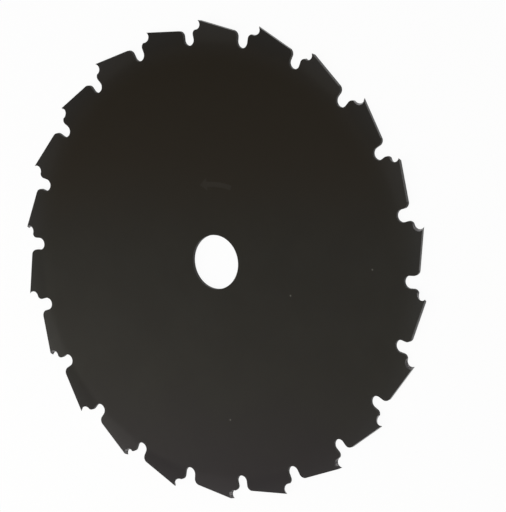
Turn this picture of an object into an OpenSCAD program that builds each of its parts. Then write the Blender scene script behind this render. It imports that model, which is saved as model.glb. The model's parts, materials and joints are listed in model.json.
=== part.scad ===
// Brush cutter blade: a disc of sheet steel with a plain arbor hole and a rim of scratcher teeth.
// The origin is the centre of the arbor hole at mid-thickness, and +Z runs along the arbor.
// Seen from +Z the blade cuts counter-clockwise. Tooth 0 points along +X and is set towards +Z.
// In a tooth's own frame x points outwards through its sharp corner and y points forward, into the cut.

/* [Blade] */
// Diameter over the sharp corners of the teeth
blade_d = 225; // [200:1:255]
// Thickness of the steel sheet
sheet_t = 1.8; // [1.4:0.1:2.4]
// Diameter of the arbor hole
bore_d = 25.4; // [16:0.1:32]

/* [Teeth] */
// Number of teeth, even because their set alternates
teeth = 22; // [18:2:26]
// Angle by which a tooth's back falls away behind its tip
back_clearance = 17; // [13:0.5:20]
// Radius of the rounded heel, where the back meets the gullet behind
heel_fillet_r = 2.7; // [1:0.1:3.5]
// Sideways set of each tip, towards alternate faces
tooth_set = 0.7; // [0.3:0.05:1.2]
// Radius of the bend at the foot of each set tooth
bend_r = 45; // [20:5:80]

/* [Gullets] */
// Width of a gullet, which is also the diameter of its round bottom
gullet_w = 5.8; // [4.6:0.1:7]
// Depth of a gullet below the tips
gullet_depth = 11.6; // [9.5:0.1:14]
// Angle from a tip forward to the bottom of the gullet in front of it
gullet_lead = 3.4; // [3:0.1:4.2]
// Angle by which a gullet leans forward of its own radius
gullet_lean = 2.1; // [0:0.1:6]

/* [Cutting edge] */
// Diameter of the round file that shapes the cutting edge
file_d = 5.2; // [4.8:0.1:5.6]
// Angle below the tip's forward tangent at which the file lies against the edge
file_drop = 46; // [40:1:50]
// Angle by which the file is tilted from the blade's axis, for a sharp corner on the set side
file_bevel = 27; // [15:1:35]
// Depth of the filed notch below the shoulder in front of the tip
notch_dip = 0.12; // [0.1:0.02:0.5]
// Angle by which the shoulder falls forward towards the gullet
shoulder_fall = 11; // [4:1:16]
// Radius of the corner between the shoulder and the gullet
shoulder_fillet_r = 2.2; // [0.8:0.1:2.4]

/* [Hidden] */
$fn = 64;

// Angle from one tooth to the next
pitch = 360 / teeth;
// Radius of the sharp corners
tip_r = blade_d / 2;
// Radius to the bottoms of the gullets
root_r = tip_r - gullet_depth;
// Radius of the file
file_r = file_d / 2;
// How far a share of the sheet runs on past the tips, and laps onto the core
overrun = 2;
// Height of every straight cut, well clear of the set tips
cut_h = 5 * (sheet_t + tooth_set);

// The sharp corner of a tooth, and the line of its back
tip = [tip_r, 0];
back_dir = -heading(90 - back_clearance);

// Middle of the gullet's round bottom in front of the tooth, and the gullet's outward direction
gullet_c = (root_r + gullet_w / 2) * heading(gullet_lead);
gullet_dir = heading(gullet_lead + gullet_lean);
// The same for the gullet behind the tooth
rear_gullet_c = turned(gullet_c, -pitch);
rear_gullet_dir = turned(gullet_dir, -pitch);
// A point on the wall that each of those gullets leaves on this tooth
front_wall = gullet_c - gullet_w / 2 * turned(gullet_dir, 90);
rear_wall = rear_gullet_c + gullet_w / 2 * turned(rear_gullet_dir, 90);

// Axis of the file where it passes the tooth's outer face, and at mid-thickness
file_c = [tip_r - file_r * sin(file_drop), file_r * cos(file_drop) / cos(file_bevel)];
mid_file_c = file_c - [0, sheet_t / 2 * tan(file_bevel)];
// The shoulder's line, from a point below the file
shoulder = [file_c.x - file_r + notch_dip, file_c.y];
shoulder_dir = heading(90 + shoulder_fall);

// Corners that get a fillet
heel_corner = crossing(tip, back_dir, rear_wall, rear_gullet_dir);
shoulder_corner = crossing(shoulder, shoulder_dir, front_wall, gullet_dir);

// Direction of the middle of a tooth's foot
foot_dir = gullet_lead - pitch / 2;
// Step by which the corners of the core, and then of the bend lines, stand out into the open gullets
corner_step = 0.3;
core_corner_r = root_r + corner_step;
bend_corner_r = core_corner_r + corner_step;
// Half the angle that one tooth's share of the sheet spans, just short of its neighbours' shares
share_half = pitch / 2 - 0.25;
// Distance from the axis to a bend line
bend_line = bend_corner_r * cos(pitch / 2);
// Distance from the bend line to the tip, across the bend
bend_reach = tip_r * cos(foot_dir) - bend_line;
// Angle by which a tooth leans out of the sheet so that its tip has the set
set_angle = atan2(bend_reach, bend_r - tooth_set) - acos(bend_r / norm([bend_reach, bend_r - tooth_set]));
// Flat steps that stand for the bend's curve
bend_steps = 4;

// Unit vector at an angle
function heading(a) = [cos(a), sin(a)];

// Vector turned by an angle
function turned(v, a) = [v.x * cos(a) - v.y * sin(a), v.x * sin(a) + v.y * cos(a)];

// Where the line through p along u meets the line through q along v
function crossing(p, u, q, v) = p + u * cross(q - p, v) / cross(u, v);

// List in its opposite order
function reversed(list) = [for (i = [len(list) - 1:-1:0]) list[i]];

// Middle line of the bent sheet, after a turn by a
function bend_point(a) = [bend_line + bend_r * sin(a), bend_r * (1 - cos(a))];

// One face of the bent sheet, at one side (1 or -1) of its middle line, from the lap on the core out past the tip
function bent_face(side) = [
    [bend_line - overrun, side * sheet_t / 2],
    [bend_line, side * sheet_t / 2],
    for (i = [1:bend_steps])
        let (a = set_angle * i / bend_steps)
        bend_point(a) + side * sheet_t / 2 * heading(90 + a),
    bend_point(set_angle) + side * sheet_t / 2 * heading(90 + set_angle)
        + (bend_reach + overrun) * heading(set_angle)
];

// A tooth's straight outline before gullets, fillets and filing, between the middles of its two gullets
function tooth_blank() = [
    crossing(tip, back_dir, rear_gullet_c, rear_gullet_dir),
    tip + back_dir * ((mid_file_c - tip) * back_dir),
    mid_file_c,
    crossing(shoulder, shoulder_dir, mid_file_c, [1, 0]),
    crossing(shoulder, shoulder_dir, gullet_c, gullet_dir)
];

// Cuts a convex corner back to a fillet, given the unit vectors along its two edges
module corner_cut(corner, u, v, r) {
    half = acos(u * v) / 2;
    middle = corner + (u + v) / norm(u + v) * r / sin(half);
    edge = r / tan(half);
    past = 1.25;
    difference() {
        polygon([for (p = [middle, corner + u * edge, corner, corner + v * edge]) middle + past * (p - middle)]);
        translate(middle) circle(r = r);
    }
}

// Outline of a gullet: a round bottom and straight walls
module gullet() {
    translate(gullet_c)
        rotate(gullet_lead + gullet_lean) {
            circle(d = gullet_w);
            translate([0, -gullet_w / 2]) square([gullet_depth, gullet_w]);
        }
}

// Outline of the whole blade, seen along the arbor
module toothed_outline() {
    difference() {
        polygon([for (k = [0:teeth - 1]) each [for (p = tooth_blank()) turned(p, k * pitch)]]);
        for (k = [0:teeth - 1])
            rotate(k * pitch) {
                gullet();
                corner_cut(heel_corner, -back_dir, -rear_gullet_dir, heel_fillet_r);
                corner_cut(shoulder_corner, -shoulder_dir, -gullet_dir, shoulder_fillet_r);
            }
    }
}

// Flat middle of the sheet, with one straight side for each tooth
module core() {
    linear_extrude(height = sheet_t, center = true)
        polygon([for (k = [0:teeth - 1]) core_corner_r * heading(gullet_lead + k * pitch)]);
}

// One tooth's share of the sheet, bent towards +Z
module bent_share() {
    inner_r = root_r - overrun;
    outer_r = (tip_r + overrun) / cos(pitch / 2);
    rotate(foot_dir)
        intersection() {
            linear_extrude(height = cut_h, center = true)
                polygon([
                    inner_r * heading(-share_half),
                    outer_r * heading(-share_half),
                    outer_r * heading(share_half),
                    inner_r * heading(share_half)
                ]);
            rotate([90, 0, 0])
                linear_extrude(height = tip_r, center = true)
                    polygon([each bent_face(-1), each reversed(bent_face(1))]);
        }
}

// Round file laid across a tooth that is set towards +Z
module file() {
    translate([file_c.x, file_c.y, tooth_set + sheet_t / 2])
        rotate([-file_bevel, 0, 0]) cylinder(d = file_d, h = cut_h, center = true);
}

// Puts its children at one tooth, turned over where that tooth is set towards -Z
module at_tooth(k) {
    rotate(k * pitch) mirror([0, 0, k % 2]) children();
}

// Keeps what lies inside the blade's outline
module trimmed() {
    intersection() {
        linear_extrude(height = cut_h, center = true) toothed_outline();
        children();
    }
}

// The blade
module blade() {
    color([0.17, 0.16, 0.14])
        difference() {
            union() {
                trimmed() core();
                for (k = [0:teeth - 1]) trimmed() at_tooth(k) bent_share();
            }
            cylinder(d = bore_d, h = cut_h, center = true);
            for (k = [0:teeth - 1]) at_tooth(k) file();
        }
}

blade();
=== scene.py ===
"""Looks of a brush cutter blade: blackened sheet steel with ground backs and bright filed notches."""
import json
import logging
import math
from collections.abc import Callable
from dataclasses import dataclass
from enum import Enum

import bpy
from mathutils import Matrix, Vector


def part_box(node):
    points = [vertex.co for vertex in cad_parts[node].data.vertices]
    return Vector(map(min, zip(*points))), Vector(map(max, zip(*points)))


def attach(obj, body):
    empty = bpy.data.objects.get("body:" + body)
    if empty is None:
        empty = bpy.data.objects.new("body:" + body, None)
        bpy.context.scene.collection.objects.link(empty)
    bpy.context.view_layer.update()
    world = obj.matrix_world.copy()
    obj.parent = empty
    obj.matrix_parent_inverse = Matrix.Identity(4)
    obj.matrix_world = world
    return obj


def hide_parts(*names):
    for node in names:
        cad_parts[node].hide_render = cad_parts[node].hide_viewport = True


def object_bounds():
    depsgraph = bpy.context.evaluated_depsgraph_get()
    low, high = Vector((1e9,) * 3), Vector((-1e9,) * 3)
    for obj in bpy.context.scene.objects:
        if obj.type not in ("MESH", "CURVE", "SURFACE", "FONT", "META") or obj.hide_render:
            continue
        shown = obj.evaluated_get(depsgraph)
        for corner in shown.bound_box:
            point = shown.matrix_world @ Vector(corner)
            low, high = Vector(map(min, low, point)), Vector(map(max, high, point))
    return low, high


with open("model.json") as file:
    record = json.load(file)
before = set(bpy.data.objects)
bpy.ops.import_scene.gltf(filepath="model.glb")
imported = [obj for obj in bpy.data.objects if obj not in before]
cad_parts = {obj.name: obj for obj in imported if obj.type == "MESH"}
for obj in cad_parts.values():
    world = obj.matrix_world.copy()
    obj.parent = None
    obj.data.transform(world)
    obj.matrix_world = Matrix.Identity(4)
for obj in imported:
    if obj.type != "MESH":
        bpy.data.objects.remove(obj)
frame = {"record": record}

Socket = bpy.types.NodeSocket
Triple = tuple[float, float, float]

LOG = logging.getLogger("blade")
MM = 0.001
CAD_BOX = [list(corner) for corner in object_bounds()]
# Least upright part of a rolled face's normal, which leans with its tooth
ROLLED = 0.8


class Finish(Enum):
    """Finishes of the blade's faces, valued by their material slot."""

    SCALE = 0
    GROUND = 1
    SHEARED = 2
    FILED = 3


class Keep(Enum):
    """What a cut through a piece leaves standing."""

    BOTH = "both"
    BELOW = "below"
    ABOVE = "above"


class Element(Enum):
    """Elements of a mesh, named as the select modes and valued as the mesh's own lists."""

    VERT = "vertices"
    EDGE = "edges"
    FACE = "polygons"


def heading(angle: float) -> Vector:
    """Returns the plan unit vector at an angle.

    Args:
        angle: Angle from +X, in radians.

    Returns:
        The unit vector, with no height.
    """
    return Vector((math.cos(angle), math.sin(angle), 0.0))


def turned(vector: Vector, angle: float) -> Vector:
    """Returns a vector turned about the vertical.

    Args:
        vector: The vector to turn.
        angle: Angle to turn by, in radians.

    Returns:
        The turned vector.
    """
    return Matrix.Rotation(angle, 3, "Z") @ vector


def crossing(p: Vector, u: Vector, q: Vector, v: Vector) -> Vector:
    """Returns the plan point where two lines meet.

    Args:
        p: A point on the first line.
        u: The first line's direction.
        q: A point on the second line.
        v: The second line's direction.

    Returns:
        The crossing of the two lines.
    """
    return p + u * ((q - p).cross(v).z / u.cross(v).z)


def is_rolled(face: bpy.types.MeshPolygon) -> bool:
    """Says if a face lies on one of the sheet's two rolled sides.

    Args:
        face: The face.

    Returns:
        True on a rolled side, and False on a wall.
    """
    return abs(face.normal.z) > ROLLED


class Bench:
    """Edit-mode tools, each used on one piece at a time.

    Attributes:
        SNAP: Distance under which a plane cut takes two points for one, in metres.
        ARC: Bevel profile of a true arc.
    """

    SNAP = 1e-7
    ARC = 0.5

    @staticmethod
    def pick(piece: bpy.types.Object) -> None:
        """Makes a piece the only selected and active object.

        Args:
            piece: The piece.
        """
        bpy.ops.object.select_all(action="DESELECT")
        piece.select_set(True)
        bpy.context.view_layer.objects.active = piece

    @staticmethod
    def take(name: str) -> bpy.types.Object:
        """Names the primitive that was just added and gives it a place in its mesh.

        Args:
            name: The name for the piece and its mesh.

        Returns:
            The piece, at the origin, unturned and unscaled.
        """
        piece = bpy.context.object
        piece.name = name
        piece.data.name = name
        bpy.ops.object.transform_apply(location=True, rotation=True, scale=True)
        return piece

    @staticmethod
    def block(name: str, middle: Vector, size: Vector) -> bpy.types.Object:
        """Adds a block.

        Args:
            name: The block's name.
            middle: Its middle.
            size: Its size along each axis.

        Returns:
            The block.
        """
        bpy.ops.object.select_all(action="DESELECT")
        bpy.ops.mesh.primitive_cube_add(size=1.0, location=middle, scale=size)
        return Bench.take(name)

    @staticmethod
    def drum(name: str, points: int, radius: float, depth: float) -> bpy.types.Object:
        """Adds an upright cylinder round the origin.

        Args:
            name: The cylinder's name.
            points: Points round it.
            radius: Its radius.
            depth: Its height.

        Returns:
            The cylinder.
        """
        bpy.ops.object.select_all(action="DESELECT")
        bpy.ops.mesh.primitive_cylinder_add(vertices=points, radius=radius, depth=depth, end_fill_type="NGON")
        return Bench.take(name)

    @staticmethod
    def cut(piece: bpy.types.Object, point: Vector, normal: Vector, keep: Keep) -> None:
        """Cuts a piece with a plane.

        Args:
            piece: The piece to cut.
            point: A point on the plane.
            normal: The plane's normal.
            keep: The side of the plane that stays, seen along the normal.
        """
        Bench.pick(piece)
        bpy.ops.object.mode_set(mode="EDIT")
        bpy.ops.mesh.select_all(action="SELECT")
        bpy.ops.mesh.bisect(
            plane_co=point,
            plane_no=normal,
            use_fill=keep is not Keep.BOTH,
            clear_inner=keep is Keep.ABOVE,
            clear_outer=keep is Keep.BELOW,
            threshold=Bench.SNAP,
        )
        bpy.ops.object.mode_set(mode="OBJECT")

    @staticmethod
    def subtract(piece: bpy.types.Object, cutter: bpy.types.Object) -> None:
        """Takes a cutter's form out of a piece and throws the cutter away.

        Args:
            piece: The piece that is cut.
            cutter: The closed form to take out.
        """
        Bench.pick(piece)
        change = piece.modifiers.new("cut", "BOOLEAN")
        change.operation = "DIFFERENCE"
        change.solver = "EXACT"
        change.object = cutter
        bpy.ops.object.modifier_apply(modifier=change.name)
        spare = cutter.data
        bpy.data.objects.remove(cutter)
        bpy.data.meshes.remove(spare)

    @staticmethod
    def stock(piece: bpy.types.Object, finishes: dict[Finish, bpy.types.Material]) -> None:
        """Fills a piece's material slots in the order of the finishes.

        Args:
            piece: The piece.
            finishes: The material of each finish.
        """
        piece.data.materials.clear()
        for finish in Finish:
            piece.data.materials.append(finishes[finish])

    @staticmethod
    def select(piece: bpy.types.Object, element: Element, wanted: Callable[..., bool]) -> None:
        """Selects some of a piece's points, edges or faces, and leaves the piece in edit mode.

        Args:
            piece: The piece.
            element: The kind of element that is selected.
            wanted: Says of one element if it is wanted.
        """
        Bench.pick(piece)
        bpy.ops.object.mode_set(mode="EDIT")
        bpy.ops.mesh.select_mode(type=element.name)
        bpy.ops.mesh.select_all(action="DESELECT")
        bpy.ops.object.mode_set(mode="OBJECT")
        for item in getattr(piece.data, element.value):
            item.select = wanted(item)
        bpy.ops.object.mode_set(mode="EDIT")


@dataclass
class BladePlan:
    """Sizes of the blade and the plan points that follow from them, in metres and radians.

    A tooth's own frame has x outwards through its sharp corner and y forward, into the cut.

    Attributes:
        tip_r: Radius of the sharp corners.
        bore_r: Radius of the arbor hole.
        sheet_t: Thickness of the sheet.
        teeth: Number of teeth, set to alternate faces.
        back_clearance: Angle by which a tooth's back falls away behind its tip.
        heel_fillet_r: Radius of the heel, where the back meets the gullet behind.
        tooth_set: Sideways set of each tip.
        bend_r: Radius of the bend at the foot of a tooth.
        gullet_w: Width of a gullet and diameter of its round bottom.
        gullet_depth: Depth of a gullet below the tips.
        gullet_lead: Angle from a tip forward to the bottom of the gullet in front of it.
        gullet_lean: Angle by which a gullet leans forward of its own radius.
        file_r: Radius of the round file.
        file_drop: Angle below the tip's forward tangent at which the file lies against the edge.
        file_bevel: Tilt of the file from the blade's axis.
        notch_dip: Depth of the filed notch below the shoulder.
        shoulder_fall: Angle by which the shoulder falls forward towards the gullet.
        shoulder_fillet_r: Radius of the corner between the shoulder and the gullet.
        bend_step: Step by which the corners of the bend lines stand out past the bottoms of the gullets.
    """

    tip_r: float
    bore_r: float
    sheet_t: float
    teeth: int = 22
    back_clearance: float = math.radians(17)
    heel_fillet_r: float = 2.7 * MM
    tooth_set: float = 0.7 * MM
    bend_r: float = 45 * MM
    gullet_w: float = 5.8 * MM
    gullet_depth: float = 11.6 * MM
    gullet_lead: float = math.radians(3.4)
    gullet_lean: float = math.radians(2.1)
    file_r: float = 2.6 * MM
    file_drop: float = math.radians(46)
    file_bevel: float = math.radians(27)
    notch_dip: float = 0.12 * MM
    shoulder_fall: float = math.radians(11)
    shoulder_fillet_r: float = 2.2 * MM
    bend_step: float = 0.6 * MM

    def __post_init__(self) -> None:
        """Works out the plan points of one tooth, and a height for cutters that clears the sheet."""
        self.cut_h = 4 * self.sheet_t
        self.pitch = math.tau / self.teeth
        self.root_r = self.tip_r - self.gullet_depth
        self.tip = Vector((self.tip_r, 0.0, 0.0))
        self.back_dir = -heading(math.pi / 2 - self.back_clearance)
        self.gullet_c = (self.root_r + self.gullet_w / 2) * heading(self.gullet_lead)
        self.gullet_dir = heading(self.gullet_lead + self.gullet_lean)
        self.rear_gullet_c = turned(self.gullet_c, -self.pitch)
        self.rear_gullet_dir = turned(self.gullet_dir, -self.pitch)
        side = self.gullet_w / 2
        self.front_wall = self.gullet_c - side * turned(self.gullet_dir, math.pi / 2)
        self.rear_wall = self.rear_gullet_c + side * turned(self.rear_gullet_dir, math.pi / 2)
        forward = self.file_r * math.cos(self.file_drop) / math.cos(self.file_bevel)
        self.file_c = Vector((self.tip_r - self.file_r * math.sin(self.file_drop), forward, 0.0))
        self.mid_file_c = self.file_c - Vector((0.0, self.sheet_t / 2 * math.tan(self.file_bevel), 0.0))
        self.shoulder = Vector((self.file_c.x - self.file_r + self.notch_dip, self.file_c.y, 0.0))
        self.shoulder_dir = heading(math.pi / 2 + self.shoulder_fall)
        self.heel_corner = crossing(self.tip, self.back_dir, self.rear_wall, self.rear_gullet_dir)
        self.shoulder_corner = crossing(self.shoulder, self.shoulder_dir, self.front_wall, self.gullet_dir)
        self.foot_dir = self.gullet_lead - self.pitch / 2
        self.bend_line = (self.root_r + self.bend_step) * math.cos(self.pitch / 2)
        reach = self.tip_r * math.cos(self.foot_dir) - self.bend_line
        drop = self.bend_r - self.tooth_set
        self.set_angle = math.atan2(reach, drop) - math.acos(self.bend_r / math.hypot(reach, drop))


@dataclass
class ToothPiece:
    """One tooth with its share of the flat sheet, modelled with its foot along +X and set towards +Z.

    Attributes:
        plan: Sizes of the blade.
        arc_points: Points round a gullet's bottom and round the file.
        fillet_steps: Steps in a fillet.
        bend_steps: Steps in the bend.
        core_lap: Distance from the bottoms of the gullets inwards to the corners of the core.
        slab_size: Length and width of the slab that the tooth is cut from.
        block_size: Length and width of the block that clears the way in front of the tip.
        file_length: Length of the file.
        hair: Distance within which a point counts as lying on a line or plane.
        near: Distance within which an edge counts as standing at a corner, and a face as filed.
        back_turn: Angle within which a wall counts as facing the way that the back does.
    """

    plan: BladePlan
    arc_points: int = 96
    fillet_steps: int = 12
    bend_steps: int = 8
    core_lap: float = 4 * MM
    slab_size: float = 40 * MM
    block_size: float = 60 * MM
    file_length: float = 10 * MM
    hair: float = 0.001 * MM
    near: float = 0.02 * MM
    back_turn: float = math.radians(1.5)

    def __post_init__(self) -> None:
        """Works out where the tooth meets the core."""
        self.core_r = self.plan.root_r - self.core_lap
        self.seam = self.core_r * math.cos(self.plan.pitch / 2)

    def foot(self, point: Vector) -> Vector:
        """Returns a point or direction of the tooth's own frame as seen with the foot along +X."""
        return turned(point, -self.plan.foot_dir)

    def slab(self) -> bpy.types.Object:
        """Cuts the slab that the tooth is made from: a wedge of sheet under the line of the tooth's back.

        Returns:
            The slab.
        """
        plan = self.plan
        size = Vector((self.slab_size, self.slab_size, plan.sheet_t))
        tooth = Bench.block("tooth", Vector((self.seam + size.x / 2, 0.0, 0.0)), size)
        for side in (-1, 1):
            Bench.cut(tooth, Vector(), side * heading(math.pi / 2 + side * plan.pitch / 2), Keep.BELOW)
        Bench.cut(tooth, self.foot(plan.tip), self.foot(heading(-plan.back_clearance)), Keep.BELOW)
        return tooth

    def shoulder_block(self) -> bpy.types.Object:
        """Makes the block to take out in front of the tip, down to the shoulder's line.

        Returns:
            The block.
        """
        plan = self.plan
        size = Vector((self.block_size, self.block_size, plan.cut_h))
        block = Bench.block("shoulder_block", self.foot(plan.tip), size)
        Bench.cut(block, self.foot(plan.mid_file_c), self.foot(heading(math.pi / 2)), Keep.ABOVE)
        Bench.cut(block, self.foot(plan.shoulder), self.foot(heading(plan.shoulder_fall)), Keep.ABOVE)
        return block

    def gullet_punch(self, centre: Vector, outward: Vector) -> bpy.types.Object:
        """Makes the punch of one gullet: a round end drawn outwards into a slot.

        Args:
            centre: Middle of the round bottom, in the tooth's own frame.
            outward: The gullet's outward direction, in the tooth's own frame.

        Returns:
            The punch.
        """
        plan = self.plan
        punch = Bench.drum("gullet_punch", self.arc_points, plan.gullet_w / 2, plan.cut_h)
        Bench.select(punch, Element.VERT, lambda point: point.co.x > self.hair)
        bpy.ops.transform.translate(value=(plan.gullet_depth, 0.0, 0.0))
        bpy.ops.object.mode_set(mode="OBJECT")
        lean = math.atan2(outward.y, outward.x) - plan.foot_dir
        punch.data.transform(Matrix.Translation(self.foot(centre)) @ Matrix.Rotation(lean, 4, "Z"))
        return punch

    def round_corner(
        self, tooth: bpy.types.Object, corner: Vector, u: Vector, v: Vector, radius: float
    ) -> None:
        """Rounds one upright corner of the tooth.

        Args:
            tooth: The tooth.
            corner: Plan place of the corner, in the tooth's own frame.
            u: Direction of one side from the corner.
            v: Direction of the other side from the corner.
            radius: Radius of the fillet.
        """
        place = self.foot(corner).xy

        def upright(edge: bpy.types.MeshEdge) -> bool:
            """Says if an edge stands at the corner."""
            return all((tooth.data.vertices[i].co.xy - place).length < self.near for i in edge.vertices)

        Bench.select(tooth, Element.EDGE, upright)
        offset = radius / math.tan(u.angle(v) / 2)
        bpy.ops.mesh.bevel(
            offset=offset, offset_type="OFFSET", segments=self.fillet_steps, profile=Bench.ARC
        )
        bpy.ops.object.mode_set(mode="OBJECT")

    def map_walls(self, tooth: bpy.types.Object) -> None:
        """Maps the flat tooth's walls: u runs along the wall and v through the sheet, both in metres.

        Args:
            tooth: The tooth before it is bent.
        """
        mapping = tooth.data.uv_layers.active.data
        for face in tooth.data.polygons:
            along = Vector((-face.normal.y, face.normal.x, 0.0))
            for corner in face.loop_indices:
                point = tooth.data.vertices[tooth.data.loops[corner].vertex_index].co
                mapping[corner].uv = (point.dot(along), point.z)

    def bend(self, tooth: bpy.types.Object) -> None:
        """Sets the tooth: cuts lines across its foot and turns what lies beyond each one.

        The steps are chords of the curve, so the first and the last line turn by half a step.

        Args:
            tooth: The flat tooth.
        """
        plan = self.plan
        step = plan.set_angle / self.bend_steps
        lines = [plan.bend_line + plan.bend_r * step * i for i in range(self.bend_steps + 1)]
        for line in lines:
            Bench.cut(tooth, Vector((line, 0.0, 0.0)), Vector((1.0, 0.0, 0.0)), Keep.BOTH)
        for line in reversed(lines):
            turn = step / 2 if line in (lines[0], lines[-1]) else step
            Bench.select(tooth, Element.VERT, lambda point: point.co.x > line + self.hair)
            bpy.ops.transform.rotate(
                value=turn, orient_axis="Y", orient_type="GLOBAL", center_override=(line, 0.0, 0.0)
            )
            bpy.ops.object.mode_set(mode="OBJECT")

    def file_place(self) -> Matrix:
        """Finds the place of the round file against the tooth.

        Returns:
            The place of a file that is modelled along Z at the origin.
        """
        plan = self.plan
        place = plan.file_c + Vector((0.0, 0.0, plan.tooth_set + plan.sheet_t / 2))
        tilt = Matrix.Rotation(-plan.file_bevel, 4, "X")
        return Matrix.Rotation(-plan.foot_dir, 4, "Z") @ Matrix.Translation(place) @ tilt

    def file(self) -> bpy.types.Object:
        """Lays the round file against the tooth, tilted for a sharp corner on the set side.

        Returns:
            The file.
        """
        file = Bench.drum("file", self.arc_points, self.plan.file_r, self.file_length)
        file.data.transform(self.file_place())
        return file

    def dress(self, tooth: bpy.types.Object) -> None:
        """Gives each face of the tooth the slot of its finish, and maps the filed faces round the file.

        Args:
            tooth: The finished tooth.
        """
        back = self.foot(heading(-self.plan.back_clearance))
        to_file = self.file_place().inverted()
        mapping = tooth.data.uv_layers.active.data
        for face in tooth.data.polygons:
            flat = Vector((face.normal.x, face.normal.y, 0.0))
            if is_rolled(face):
                finish = Finish.SCALE
            elif abs((to_file @ face.center).xy.length - self.plan.file_r) < self.near:
                finish = Finish.FILED
            elif flat.angle(back) < self.back_turn:
                finish = Finish.GROUND
            else:
                finish = Finish.SHEARED
            face.material_index = finish.value
            if finish is Finish.FILED:
                for corner in face.loop_indices:
                    point = to_file @ tooth.data.vertices[tooth.data.loops[corner].vertex_index].co
                    mapping[corner].uv = (self.plan.file_r * math.atan2(point.y, point.x), point.z)

    def open_seams(self, tooth: bpy.types.Object) -> None:
        """Takes away the faces at which the tooth joins the core and its neighbours.

        Args:
            tooth: The closed tooth.
        """
        points = tooth.data.vertices
        sides = [heading(side * (self.plan.pitch + math.pi) / 2) for side in (-1, 1)]

        def at_seam(face: bpy.types.MeshPolygon) -> bool:
            """Says if a face lies in the plane of a seam.

            Args:
                face: The face.

            Returns:
                True where all its corners lie in one seam.
            """
            corners = [points[i].co for i in face.vertices]
            if all(abs(corner.x - self.seam) < self.hair for corner in corners):
                return True
            return any(all(abs(corner.dot(side)) < self.hair for corner in corners) for side in sides)

        Bench.select(tooth, Element.FACE, at_seam)
        bpy.ops.mesh.delete(type="FACE")
        bpy.ops.object.mode_set(mode="OBJECT")

    def build(self, finishes: dict[Finish, bpy.types.Material]) -> bpy.types.Object:
        """Models the tooth from its slab to the filed edge.

        Args:
            finishes: The material of each finish.

        Returns:
            The tooth, open at its seams.
        """
        plan = self.plan
        gullets = ((plan.gullet_c, plan.gullet_dir), (plan.rear_gullet_c, plan.rear_gullet_dir))
        corners = (
            (plan.heel_corner, -plan.back_dir, -plan.rear_gullet_dir, plan.heel_fillet_r),
            (plan.shoulder_corner, -plan.shoulder_dir, -plan.gullet_dir, plan.shoulder_fillet_r),
        )
        tooth = self.slab()
        Bench.subtract(tooth, self.shoulder_block())
        for centre, outward in gullets:
            Bench.subtract(tooth, self.gullet_punch(centre, outward))
        for corner, u, v, radius in corners:
            self.round_corner(tooth, corner, u, v, radius)
        self.map_walls(tooth)
        self.bend(tooth)
        Bench.subtract(tooth, self.file())
        Bench.stock(tooth, finishes)
        self.dress(tooth)
        self.open_seams(tooth)
        return tooth


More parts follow.
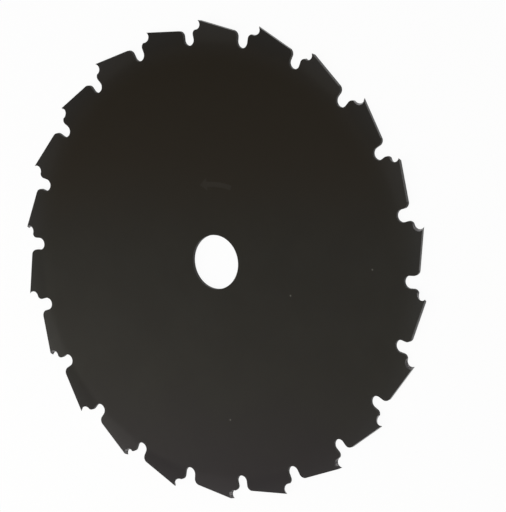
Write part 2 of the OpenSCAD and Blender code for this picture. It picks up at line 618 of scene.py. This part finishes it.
@dataclass
class BladePiece:
    """The blade: a flat core with the arbor hole, in a ring of teeth set to alternate faces.

    Attributes:
        plan: Sizes of the blade.
        bore_points: Points round the arbor hole.
        edge_break: Width of the break along the sheared and ground edges.
        edge_steps: Steps in that break.
        smooth_below: Angle between two faces below which they are shaded as one.
        face_pull: How strongly a large face turns the shading of its corners its own way, up to 100.
        weld_gap: Distance up to which the points of neighbouring teeth are merged.
    """

    plan: BladePlan
    bore_points: int = 192
    edge_break: float = 0.07 * MM
    edge_steps: int = 2
    smooth_below: float = math.radians(35)
    face_pull: int = 100
    weld_gap: float = 0.002 * MM

    def core(self, core_r: float, finishes: dict[Finish, bpy.types.Material]) -> bpy.types.Object:
        """Cuts the flat middle of the sheet, with one straight side for each tooth.

        Args:
            core_r: Radius to the corners between the teeth.
            finishes: The material of each finish.

        Returns:
            The core, open at its sides.
        """
        plan = self.plan
        core = Bench.drum("core", plan.teeth, core_r, plan.sheet_t)
        corner = core.data.vertices[0].co
        core.data.transform(Matrix.Rotation(plan.gullet_lead - math.atan2(corner.y, corner.x), 4, "Z"))
        Bench.subtract(core, Bench.drum("bore_punch", self.bore_points, plan.bore_r, plan.cut_h))
        Bench.stock(core, finishes)
        mapping = core.data.uv_layers.active.data
        for face in core.data.polygons:
            face.material_index = Finish.SCALE.value if is_rolled(face) else Finish.SHEARED.value
            for loop in face.loop_indices:
                point = core.data.vertices[core.data.loops[loop].vertex_index].co
                mapping[loop].uv = (plan.bore_r * math.atan2(point.y, point.x), point.z)

        def at_side(face: bpy.types.MeshPolygon) -> bool:
            """Says if a face is a side that a tooth joins, and not the wall of the hole."""
            return not is_rolled(face) and face.center.xy.length > core_r / 2

        Bench.select(core, Element.FACE, at_side)
        bpy.ops.mesh.delete(type="FACE")
        bpy.ops.object.mode_set(mode="OBJECT")
        return core

    def ring(self, tooth: bpy.types.Object) -> list[bpy.types.Object]:
        """Copies the tooth round the blade, turned over at every other place.

        Args:
            tooth: The tooth with its foot along +X.

        Returns:
            The copies, each with its own mesh.
        """
        plan = self.plan
        copies = []
        for place in range(plan.teeth):
            mesh = tooth.data.copy()
            if place % 2:
                mesh.transform(Matrix.Scale(-1.0, 4, Vector((0.0, 0.0, 1.0))))
                mesh.flip_normals()
            mesh.transform(Matrix.Rotation(plan.foot_dir + place * plan.pitch, 4, "Z"))
            copy = bpy.data.objects.new("tooth_copy", mesh)
            bpy.context.scene.collection.objects.link(copy)
            copies.append(copy)
        spare = tooth.data
        bpy.data.objects.remove(tooth)
        bpy.data.meshes.remove(spare)
        return copies

    def weld(self, core: bpy.types.Object, teeth: list[bpy.types.Object]) -> None:
        """Joins the teeth to the core and closes the seams between them.

        Args:
            core: The core, which becomes the blade.
            teeth: The teeth.
        """
        Bench.pick(core)
        for tooth in teeth:
            tooth.select_set(True)
        bpy.ops.object.join()
        bpy.ops.object.mode_set(mode="EDIT")
        bpy.ops.mesh.select_mode(type="VERT")
        bpy.ops.mesh.select_all(action="SELECT")
        bpy.ops.mesh.remove_doubles(threshold=self.weld_gap)
        bpy.ops.mesh.normals_make_consistent(inside=False)
        bpy.ops.mesh.select_all(action="DESELECT")
        bpy.ops.mesh.select_non_manifold()
        bpy.ops.object.mode_set(mode="OBJECT")
        loose = sum(point.select for point in core.data.vertices)
        LOG.info("blade: %d points on open or doubled edges", loose)

    def break_edges(self, blade: bpy.types.Object) -> None:
        """Breaks the sheared and ground edges by a hair, and leaves the filed ones sharp.

        Args:
            blade: The closed blade.
        """
        flanks: dict[tuple[int, int], set[int]] = {}
        for face in blade.data.polygons:
            for key in face.edge_keys:
                flanks.setdefault(key, set()).add(face.material_index)
        rims = ({Finish.SCALE.value, Finish.SHEARED.value}, {Finish.SCALE.value, Finish.GROUND.value})
        Bench.select(blade, Element.EDGE, lambda edge: flanks[edge.key] in rims)
        bpy.ops.transform.edge_bevelweight(value=1.0)
        bpy.ops.object.mode_set(mode="OBJECT")
        bevel = blade.modifiers.new("edge_break", "BEVEL")
        bevel.limit_method = "WEIGHT"
        bevel.width = self.edge_break
        bevel.segments = self.edge_steps
        bevel.use_clamp_overlap = False
        bevel.loop_slide = False
        bpy.ops.object.modifier_apply(modifier=bevel.name)
        bpy.ops.object.shade_smooth_by_angle(angle=self.smooth_below)
        flat = blade.modifiers.new("flat_faces", "WEIGHTED_NORMAL")
        flat.mode = "FACE_AREA"
        flat.weight = self.face_pull
        flat.keep_sharp = True
        bpy.ops.object.modifier_apply(modifier=flat.name)

    def build(self, finishes: dict[Finish, bpy.types.Material]) -> bpy.types.Object:
        """Builds the blade and dresses it.

        Args:
            finishes: The material of each finish.

        Returns:
            The blade.
        """
        tooth = ToothPiece(self.plan)
        blade = self.core(tooth.core_r, finishes)
        self.weld(blade, self.ring(tooth.build(finishes)))
        self.break_edges(blade)
        blade.name = "dressed_blade"
        blade.data.name = "dressed_blade"
        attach(blade, "root")
        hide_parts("blade")
        return blade


@dataclass(frozen=True)
class Colour:
    """A linear colour."""

    red: float
    green: float
    blue: float

    def rgba(self) -> tuple[float, float, float, float]:
        """Returns the colour with full cover."""
        return (self.red, self.green, self.blue, 1.0)


@dataclass(frozen=True)
class Pattern:
    """Noise of one size, and the part of its range over which it shows.

    Attributes:
        scale: Waves per metre.
        low: Noise at which it starts to show.
        high: Noise from which it shows in full.
        detail: Number of finer layers.
    """

    scale: float
    low: float
    high: float
    detail: float = 3.0


class Brush:
    """Builds the node tree of one material round its Principled shader."""

    def __init__(self, name: str) -> None:
        """Starts the material.

        Args:
            name: The material's name.
        """
        self.material = bpy.data.materials.new(name)
        self.material.use_nodes = True
        self.tree = self.material.node_tree
        self.shader = self.tree.nodes["Principled BSDF"]

    def node(self, kind: str, **settings: object) -> bpy.types.Node:
        """Adds a node.

        Args:
            kind: The node's type name.
            settings: Values for the node's own settings.

        Returns:
            The node.
        """
        node = self.tree.nodes.new(kind)
        for name, value in settings.items():
            setattr(node, name, value)
        return node

    def feed(self, socket: Socket, value: "Socket | float | Colour") -> None:
        """Links a socket to another one, or sets its value.

        Args:
            socket: The input.
            value: The output to link, or the value to set.
        """
        if isinstance(value, Socket):
            self.tree.links.new(value, socket)
        else:
            socket.default_value = value.rgba() if isinstance(value, Colour) else value

    def place(self) -> Socket:
        """Returns the place on the piece, in its own coordinates."""
        return self.node("ShaderNodeTexCoord").outputs["Object"]

    def wall(self) -> Socket:
        """Returns the place on a wall: along it and through the sheet."""
        return self.node("ShaderNodeUVMap", uv_map="UVMap").outputs["UV"]

    def stretched(self, place: Socket, scale: Triple) -> Socket:
        """Scales coordinates along each axis.

        Args:
            place: The coordinates.
            scale: Factor along each axis.

        Returns:
            The scaled coordinates.
        """
        mapping = self.node("ShaderNodeMapping")
        self.feed(mapping.inputs["Vector"], place)
        mapping.inputs["Scale"].default_value = scale
        return mapping.outputs["Vector"]

    def radius(self, place: Socket) -> Socket:
        """Measures how far a place lies from the Z axis.

        Args:
            place: The place.

        Returns:
            The distance.
        """
        level = self.node("ShaderNodeVectorMath", operation="MULTIPLY")
        self.feed(level.inputs[0], place)
        level.inputs[1].default_value = (1.0, 1.0, 0.0)
        length = self.node("ShaderNodeVectorMath", operation="LENGTH")
        self.feed(length.inputs[0], level.outputs["Vector"])
        return length.outputs["Value"]

    def noise(self, place: Socket, pattern: Pattern) -> Socket:
        """Adds noise.

        Args:
            place: The coordinates.
            pattern: The size and detail of the noise.

        Returns:
            The noise over its whole range, about 0.5 in the mean.
        """
        noise = self.node("ShaderNodeTexNoise")
        self.feed(noise.inputs["Vector"], place)
        noise.inputs["Scale"].default_value = pattern.scale
        noise.inputs["Detail"].default_value = pattern.detail
        return noise.outputs["Fac"]

    def ramp(self, value: Socket, low: float, high: float, start: float = 0.0, end: float = 1.0) -> Socket:
        """Maps a range smoothly onto another one, without running past its ends.

        Args:
            value: The value to map.
            low: Value that becomes start.
            high: Value that becomes end.
            start: Result at low.
            end: Result at high.

        Returns:
            The mapped value.
        """
        ramp = self.node("ShaderNodeMapRange", interpolation_type="SMOOTHSTEP")
        for name, setting in (
            ("Value", value), ("From Min", low), ("From Max", high), ("To Min", start), ("To Max", end)
        ):
            self.feed(ramp.inputs[name], setting)
        return ramp.outputs["Result"]

    def apply(self, operation: str, *values: "Socket | float") -> Socket:
        """Works out one step of arithmetic.

        Args:
            operation: The Math node's operation.
            values: Its inputs.

        Returns:
            The result.
        """
        node = self.node("ShaderNodeMath", operation=operation)
        for socket, value in zip(node.inputs, values):
            self.feed(socket, value)
        return node.outputs["Value"]

    def blend(self, factor: Socket, a: "Socket | Colour", b: "Socket | Colour") -> Socket:
        """Blends two colours.

        Args:
            factor: Share of the second colour.
            a: The first colour.
            b: The second colour.

        Returns:
            The blend.
        """
        mix = self.node("ShaderNodeMix", data_type="RGBA")
        self.feed(mix.inputs["Factor"], factor)
        self.feed(mix.inputs["A"], a)
        self.feed(mix.inputs["B"], b)
        return mix.outputs["Result"]

    def bump(self, height: Socket, depth: float) -> None:
        """Raises the surface by a height of about 0 to 1.

        Args:
            height: The height.
            depth: Real height of 1, in metres.
        """
        bump = self.node("ShaderNodeBump")
        bump.inputs["Distance"].default_value = depth
        self.feed(bump.inputs["Height"], height)
        self.feed(self.shader.inputs["Normal"], bump.outputs["Normal"])


@dataclass(frozen=True)
class Arrow:
    """Printed arrow for the turning direction: an arc round the arbor hole with a head at its end.

    The tail and the head's start are angles from +X, and an edge fades over the blur to both sides.
    """

    arc_r: float = 36.4 * MM
    width: float = 2.3 * MM
    tail: float = math.radians(-18.8)
    head_start: float = math.radians(2.6)
    head_length: float = 3.8 * MM
    head_width: float = 6.2 * MM
    blur: float = 0.12 * MM

    def cover(self, brush: Brush, place: Socket, radius: Socket) -> Socket:
        """Draws the arrow on the top face.

        Args:
            brush: The material's node tree.
            place: The place on the blade.
            radius: Its distance from the arbor's axis.

        Returns:
            1 on the arrow and 0 beside it.
        """
        split = brush.node("ShaderNodeSeparateXYZ")
        brush.feed(split.inputs["Vector"], place)
        turn = self.blur / self.arc_r
        angle = brush.apply("ARCTAN2", split.outputs["Y"], split.outputs["X"])
        aside = brush.apply("ABSOLUTE", brush.apply("SUBTRACT", radius, self.arc_r))
        on_arc = brush.ramp(aside, self.width / 2 + self.blur, self.width / 2 - self.blur)
        after_tail = brush.ramp(angle, self.tail, self.tail + turn)
        before_head = brush.ramp(angle, self.head_start + turn, self.head_start)
        shaft = brush.apply("MULTIPLY", on_arc, brush.apply("MULTIPLY", after_tail, before_head))
        ahead = brush.apply("MULTIPLY", brush.apply("SUBTRACT", angle, self.head_start), self.arc_r)
        taper = -self.head_width / 2 / self.head_length
        reach = brush.apply("MULTIPLY_ADD", ahead, taper, self.head_width / 2)
        in_head = brush.ramp(brush.apply("SUBTRACT", reach, aside), -self.blur, self.blur)
        head = brush.apply("MULTIPLY", in_head, brush.ramp(ahead, -self.blur, self.blur))
        top = brush.ramp(split.outputs["Z"], 0.0, self.blur)
        return brush.apply("MULTIPLY", brush.apply("MAXIMUM", shaft, head), top)


@dataclass(frozen=True)
class Speck:
    """Small pale speck on the top face, with an edge that fades over the blur to both sides."""

    x: float
    y: float
    z: float = 0.9 * MM
    radius: float = 0.4 * MM
    blur: float = 0.15 * MM

    def cover(self, brush: Brush, place: Socket) -> Socket:
        """Draws the speck.

        Args:
            brush: The material's node tree.
            place: The place on the blade.

        Returns:
            1 on the speck and 0 beside it.
        """
        far = brush.node("ShaderNodeVectorMath", operation="DISTANCE")
        brush.feed(far.inputs[0], place)
        far.inputs[1].default_value = (self.x, self.y, self.z)
        return brush.ramp(far.outputs["Value"], self.radius + self.blur, self.radius - self.blur)


@dataclass(frozen=True)
class BlackenedScale:
    """Matte heat-treatment scale on the rolled faces, tinted by place, and lighter at the rim from wear and
    painted light.

    Dark and light are the colours of the clouds, cool is the mottle's and pores is the grain's. A warm,
    slightly darker tint shows towards +X and a purple one towards -X, each between two places along X that
    the clouds move by the drift. The rim is lighter and metallic between two radii, partly bare metal from
    wear and partly painted light that brightens the ring where the teeth bend, and it reaches further in
    towards +X by the lean. A share is how much of its colour shows where it is full.

    Attributes:
        sheen: Part of the mottle's range over which the roughness changes.
        roughness: Roughness at both ends of it.
        gloss: Strength of the gloss, where 0.5 is that of plastic.
        relief: Height of the grain.
        mottle_relief: Height of the mottle as a share of the grain's.
    """

    dark: Colour = Colour(0.0114, 0.0098, 0.0056)
    light: Colour = Colour(0.0134, 0.0120, 0.0076)
    cool: Colour = Colour(0.0122, 0.0108, 0.0098)
    cool_share: float = 0.3
    pores: Colour = Colour(0.0062, 0.0050, 0.0032)
    pore_share: float = 0.5
    warm: Colour = Colour(0.0122, 0.0082, 0.0028)
    warm_start: float = 12 * MM
    warm_end: float = 70 * MM
    purple_tint: Colour = Colour(0.0126, 0.0092, 0.0108)
    purple_start: float = -30 * MM
    purple_end: float = -100 * MM
    drift: float = 30 * MM
    rim: Colour = Colour(0.0400, 0.0408, 0.0425)
    rim_start: float = 94 * MM
    rim_end: float = 120 * MM
    rim_lean: float = 0.028
    rim_share: float = 0.6
    arrow: Arrow = Arrow()
    arrow_colour: Colour = Colour(0.0280, 0.0245, 0.0185)
    arrow_share: float = 0.5
    specks: tuple[Speck, ...] = (
        Speck(-15.3 * MM, -40.4 * MM),
        Speck(-3.1 * MM, -84.8 * MM),
        Speck(-74.4 * MM, -2.2 * MM),
    )
    speck_colour: Colour = Colour(0.1100, 0.1050, 0.0950)
    clouds: Pattern = Pattern(scale=38.0, low=0.35, high=0.68, detail=4.0)
    mottle: Pattern = Pattern(scale=240.0, low=0.45, high=0.8, detail=5.0)
    grain: Pattern = Pattern(scale=2600.0, low=0.5, high=0.75, detail=2.0)
    sheen: tuple[float, float] = (0.3, 0.7)
    roughness: tuple[float, float] = (0.385, 0.415)
    gloss: float = 0.14
    relief: float = 0.004 * MM
    mottle_relief: float = 0.6

    def build(self) -> bpy.types.Material:
        """Makes the material.

        Returns:
            The material.
        """
        brush = Brush("blackened_scale")
        place = brush.place()
        clouds, mottle, grain = (brush.noise(place, kind) for kind in (self.clouds, self.mottle, self.grain))
        clouded = brush.ramp(clouds, self.clouds.low, self.clouds.high)
        mottled = brush.ramp(mottle, self.mottle.low, self.mottle.high, 0.0, self.cool_share)
        pored = brush.ramp(grain, self.grain.low, self.grain.high, 0.0, self.pore_share)
        colour = brush.blend(clouded, self.dark, self.light)
        colour = brush.blend(mottled, colour, self.cool)
        colour = brush.blend(pored, colour, self.pores)
        split = brush.node("ShaderNodeSeparateXYZ")
        brush.feed(split.inputs["Vector"], place)
        # A warm, slightly darker tint shows towards +X and a purple tint towards -X.
        drifted = brush.apply("MULTIPLY_ADD", clouds, self.drift, split.outputs["X"])
        colour = brush.blend(brush.ramp(drifted, self.warm_start, self.warm_end), colour, self.warm)
        colour = brush.blend(brush.ramp(drifted, self.purple_start, self.purple_end), colour, self.purple_tint)
        radius = brush.radius(place)
        # Lighter, metallic rim: partly wear, partly painted light that brightens the ring where the teeth
        # bend.
        leaning = brush.apply("MULTIPLY_ADD", split.outputs["X"], self.rim_lean, radius)
        rim_wear_and_light = brush.ramp(leaning, self.rim_start, self.rim_end, 0.0, self.rim_share)
        colour = brush.blend(rim_wear_and_light, colour, self.rim)
        brush.feed(brush.shader.inputs["Metallic"], rim_wear_and_light)
        printed = brush.apply("MULTIPLY", self.arrow.cover(brush, place, radius), self.arrow_share)
        colour = brush.blend(printed, colour, self.arrow_colour)
        for speck in self.specks:
            colour = brush.blend(speck.cover(brush, place), colour, self.speck_colour)
        brush.feed(brush.shader.inputs["Base Color"], colour)
        brush.feed(brush.shader.inputs["Roughness"], brush.ramp(mottle, *self.sheen, *self.roughness))
        brush.shader.inputs["Specular IOR Level"].default_value = self.gloss
        brush.bump(brush.apply("MULTIPLY_ADD", mottle, self.mottle_relief, grain), self.relief)
        return brush.material


@dataclass(frozen=True)
class WornSteel:
    """Bare or nearly bare steel on a wall, with fine lines and dark patches.

    Attributes:
        name: The material's name.
        dark: Colour between the lines and of the patches.
        light: Colour of the lines.
        metal: How bare the steel is, from 0 to 1.
        roughness: Roughness between the lines and on them.
        lines_along: Waves per metre along the wall.
        lines_through: Waves per metre through the sheet.
        depth: Height of the lines.
        lines: Noise of the lines, on coordinates stretched by those waves.
        patches: Noise of the patches.
        patch_share: Share of the dark colour where a patch shows in full.
    """

    name: str
    dark: Colour
    light: Colour
    metal: float
    roughness: tuple[float, float]
    lines_along: float
    lines_through: float
    depth: float
    lines: Pattern = Pattern(scale=1.0, low=0.3, high=0.7)
    patches: Pattern = Pattern(scale=420.0, low=0.55, high=0.75)
    patch_share: float = 0.6

    def build(self) -> bpy.types.Material:
        """Makes the material.

        Returns:
            The material.
        """
        brush = Brush(self.name)
        wall = brush.stretched(brush.wall(), (self.lines_along, self.lines_through, 1.0))
        lines = brush.noise(wall, self.lines)
        patches = brush.noise(brush.place(), self.patches)
        colour = brush.blend(brush.ramp(lines, self.lines.low, self.lines.high), self.dark, self.light)
        stained = brush.ramp(patches, self.patches.low, self.patches.high, 0.0, self.patch_share)
        colour = brush.blend(stained, colour, self.dark)
        rough = brush.ramp(lines, self.lines.low, self.lines.high, *self.roughness)
        brush.feed(brush.shader.inputs["Base Color"], colour)
        brush.feed(brush.shader.inputs["Roughness"], rough)
        brush.shader.inputs["Metallic"].default_value = self.metal
        brush.bump(lines, self.depth)
        return brush.material


FINISHES = {
    Finish.SCALE: BlackenedScale(),
    Finish.GROUND: WornSteel(
        name="ground_back",
        dark=Colour(0.042, 0.041, 0.040),
        light=Colour(0.120, 0.117, 0.112),
        metal=1.0,
        roughness=(0.28, 0.42),
        lines_along=6000.0,
        lines_through=500.0,
        depth=0.003 * MM,
    ),
    Finish.SHEARED: WornSteel(
        name="sheared_wall",
        dark=Colour(0.014, 0.0125, 0.010),
        light=Colour(0.040, 0.037, 0.033),
        metal=0.7,
        roughness=(0.40, 0.55),
        lines_along=5200.0,
        lines_through=700.0,
        depth=0.006 * MM,
    ),
    Finish.FILED: WornSteel(
        name="filed_edge",
        dark=Colour(0.034, 0.032, 0.032),
        light=Colour(0.280, 0.270, 0.272),
        metal=1.0,
        roughness=(0.18, 0.32),
        lines_along=9000.0,
        lines_through=260.0,
        depth=0.003 * MM,
        patches=Pattern(scale=420.0, low=0.42, high=0.58),
        patch_share=0.8,
    ),
}


@dataclass(frozen=True)
class Lamp:
    """Square soft lamp that faces the middle of the blade, with its power in watts."""

    name: str
    place: Triple
    power: float
    size: float = 0.4
    tint: Triple = (1.0, 0.965, 0.90)

    def hang(self) -> None:
        """Hangs the lamp and turns it to the origin."""
        data = bpy.data.lights.new(self.name, "AREA")
        data.shape = "SQUARE"
        data.size = self.size
        data.energy = self.power
        data.color = self.tint
        lamp = bpy.data.objects.new(self.name, data)
        bpy.context.scene.collection.objects.link(lamp)
        lamp.location = self.place
        lamp.rotation_euler = (-Vector(self.place)).to_track_quat("-Z", "Y").to_euler()


@dataclass(frozen=True)
class Studio:
    """Plain white floor, an even room and soft lamps.

    Attributes:
        floor_z: Height of the floor.
        floor_size: Diameter of the floor.
        floor_sides: Sides of its rim.
        wall_height: Height of the low wall on its rim.
        floor_white: How pale the paper is, from 0 to 1.
        floor_roughness: Roughness of the paper.
        floor_lift: Share of plain white in what is seen of the floor, the rest being lit paper.
        sky: Strength of the room's own light.
        lamps: The lamps.
    """

    floor_z: float
    floor_size: float = 22.0
    floor_sides: int = 96
    wall_height: float = 1.6
    floor_white: float = 0.9
    floor_roughness: float = 0.9
    floor_lift: float = 0.95
    sky: float = 0.445
    lamps: tuple[Lamp, ...] = (
        Lamp(name="softbox", place=(-0.184, 0.106, 0.583), power=0.77),
        Lamp(name="window", place=(-0.263, 0.455, 0.329), power=1.42),
    )

    def paper(self) -> bpy.types.Material:
        """Makes the floor's material: lit paper, lifted to plain white where it is seen.

        Returns:
            The material.
        """
        brush = Brush("white_paper")
        white = Colour(self.floor_white, self.floor_white, self.floor_white)
        brush.shader.inputs["Base Color"].default_value = white.rgba()
        brush.shader.inputs["Roughness"].default_value = self.floor_roughness
        brush.shader.inputs["Specular IOR Level"].default_value = 0.0
        glow = brush.node("ShaderNodeEmission")
        glow.inputs["Strength"].default_value = 1.0
        mix = brush.node("ShaderNodeMixShader")
        brush.feed(mix.inputs[0], brush.apply("MULTIPLY", self.seen(brush), self.floor_lift))
        brush.feed(mix.inputs[1], brush.shader.outputs["BSDF"])
        brush.feed(mix.inputs[2], glow.outputs["Emission"])
        brush.feed(brush.tree.nodes["Material Output"].inputs["Surface"], mix.outputs["Shader"])
        return brush.material

    @staticmethod
    def seen(brush: Brush) -> Socket:
        """Tells the rays that see the floor from those that only fetch its light.

        Args:
            brush: The floor's node tree.

        Returns:
            1 for what the camera, a mirror or a glass sees, and 0 for the rest.
        """
        rays = brush.node("ShaderNodeLightPath")
        seen = brush.apply("MAXIMUM", rays.outputs["Is Camera Ray"], rays.outputs["Is Glossy Ray"])
        return brush.apply("MAXIMUM", seen, rays.outputs["Is Transmission Ray"])

    def floor(self) -> None:
        """Lays the floor under the blade, with a low wall far round it that hides its edge."""
        bpy.ops.object.select_all(action="DESELECT")
        bpy.ops.mesh.primitive_circle_add(
            vertices=self.floor_sides,
            radius=self.floor_size / 2,
            fill_type="NGON",
            location=(0.0, 0.0, self.floor_z),
        )
        floor = Bench.take("floor")
        bpy.ops.object.mode_set(mode="EDIT")
        bpy.ops.mesh.select_mode(type="EDGE")
        bpy.ops.mesh.select_all(action="SELECT")
        bpy.ops.mesh.region_to_loop()
        bpy.ops.mesh.extrude_edges_move()
        bpy.ops.transform.translate(value=(0.0, 0.0, self.wall_height))
        bpy.ops.object.mode_set(mode="OBJECT")
        floor.data.materials.append(self.paper())

    def surroundings(self) -> None:
        """Gives the room an even light of its own."""
        world = bpy.data.worlds.new("room")
        bpy.context.scene.world = world
        world.use_nodes = True
        back = world.node_tree.nodes["Background"]
        back.inputs["Color"].default_value = (1.0, 1.0, 1.0, 1.0)
        back.inputs["Strength"].default_value = self.sky

    def build(self) -> None:
        """Sets up the floor, the room and the lamps."""
        self.floor()
        self.surroundings()
        for lamp in self.lamps:
            lamp.hang()


@dataclass(frozen=True)
class Viewpoint:
    """The photograph's camera.

    Attributes:
        place: Where it stands.
        aim: The point that it faces.
        upright: The direction that shows upwards in the picture.
        lens: Its focal length in millimetres.
        sensor: Width of its sensor in millimetres.
    """

    place: Triple = (0.12264, -0.64069, 0.92205)
    aim: Triple = (0.00282, -0.02073, 0.0)
    upright: Triple = (0.99217, 0.00038, -0.12490)
    lens: float = 170.65
    sensor: float = 36.0

    def build(self) -> None:
        """Sets up the camera."""
        data = bpy.data.cameras.new("camera")
        data.lens = self.lens
        data.sensor_width = self.sensor
        camera = bpy.data.objects.new("camera", data)
        bpy.context.scene.collection.objects.link(camera)
        look = (Vector(self.aim) - Vector(self.place)).normalized()
        right = look.cross(Vector(self.upright)).normalized()
        turn = Matrix((right, right.cross(look), -look)).transposed()
        camera.matrix_world = Matrix.Translation(self.place) @ turn.to_4x4()
        bpy.context.scene.camera = camera


def main() -> None:
    """Builds the blade, the stage and the camera."""
    logging.basicConfig(level=logging.INFO, format="%(name)s: %(message)s")
    bore = next(mount for mount in frame["record"]["mounts"] if mount["name"] == "bore")
    plan = BladePlan(
        tip_r=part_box("blade")[1][0],
        bore_r=bore["dims"]["r_mm"] * MM,
        sheet_t=bore["dims"]["length_mm"] * MM,
    )
    blade = BladePiece(plan).build({finish: look.build() for finish, look in FINISHES.items()})
    reach = max(point.co.xy.length for point in blade.data.vertices)
    LOG.info("blade: %d faces, reach %.2f mm", len(blade.data.polygons), reach / MM)
    Studio(CAD_BOX[0][2]).build()
    LOG.info("floor, room and lamps: built")
    Viewpoint().build()
    LOG.info("camera: built")
    bpy.context.scene.view_settings.view_transform = "Standard"


if __name__ == "__main__":
    main()
